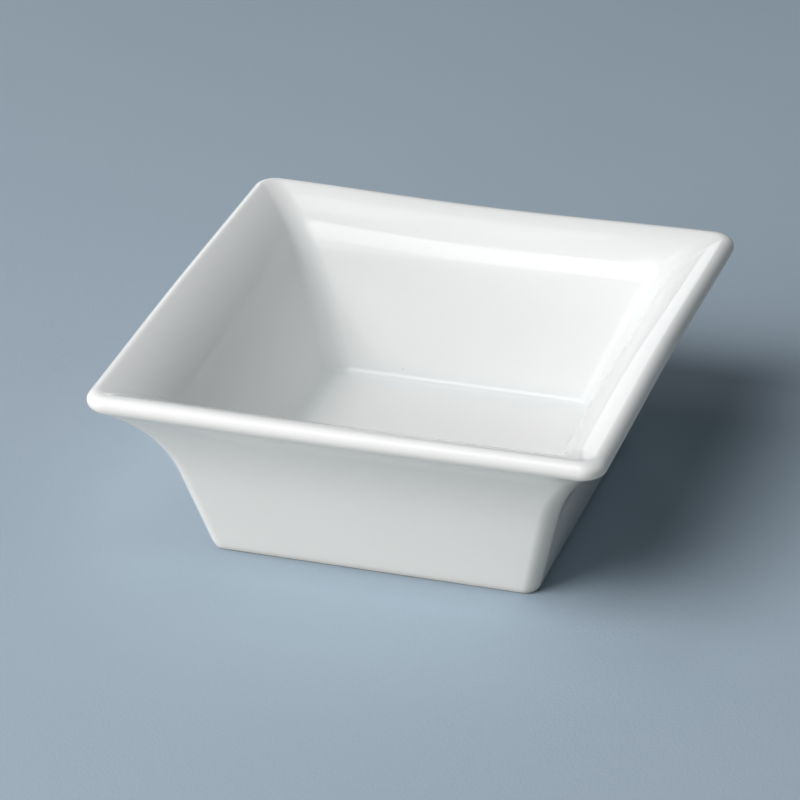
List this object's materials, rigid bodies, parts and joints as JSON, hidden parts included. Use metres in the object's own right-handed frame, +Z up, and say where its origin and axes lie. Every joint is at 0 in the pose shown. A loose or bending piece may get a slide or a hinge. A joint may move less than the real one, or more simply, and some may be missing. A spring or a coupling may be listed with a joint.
{
  "type": "square condiment dish",
  "caption": "Small square porcelain condiment dish with steep walls that flare into a thick rounded rim, glazed all over but its foot ring.",
  "frame": {"origin": "centre of the square base, on the plane that the foot ring stands on", "axes": "+Z up; the front side faces -Y and the right side faces +X, each axis parallel to two sides of the square"},
  "size_m": [0.115, 0.115, 0.0464],
  "materials": {
    "fired_body": "bare fired porcelain, fine-grained and matt",
    "white_glaze": "clear glossy glaze over cool white porcelain, slightly uneven"
  },
  "bodies": {
    "root": {"porcelain_body": "fired_body", "glaze_coat": "white_glaze", "base_glaze": "white_glaze"}
  },
  "joints": []
}
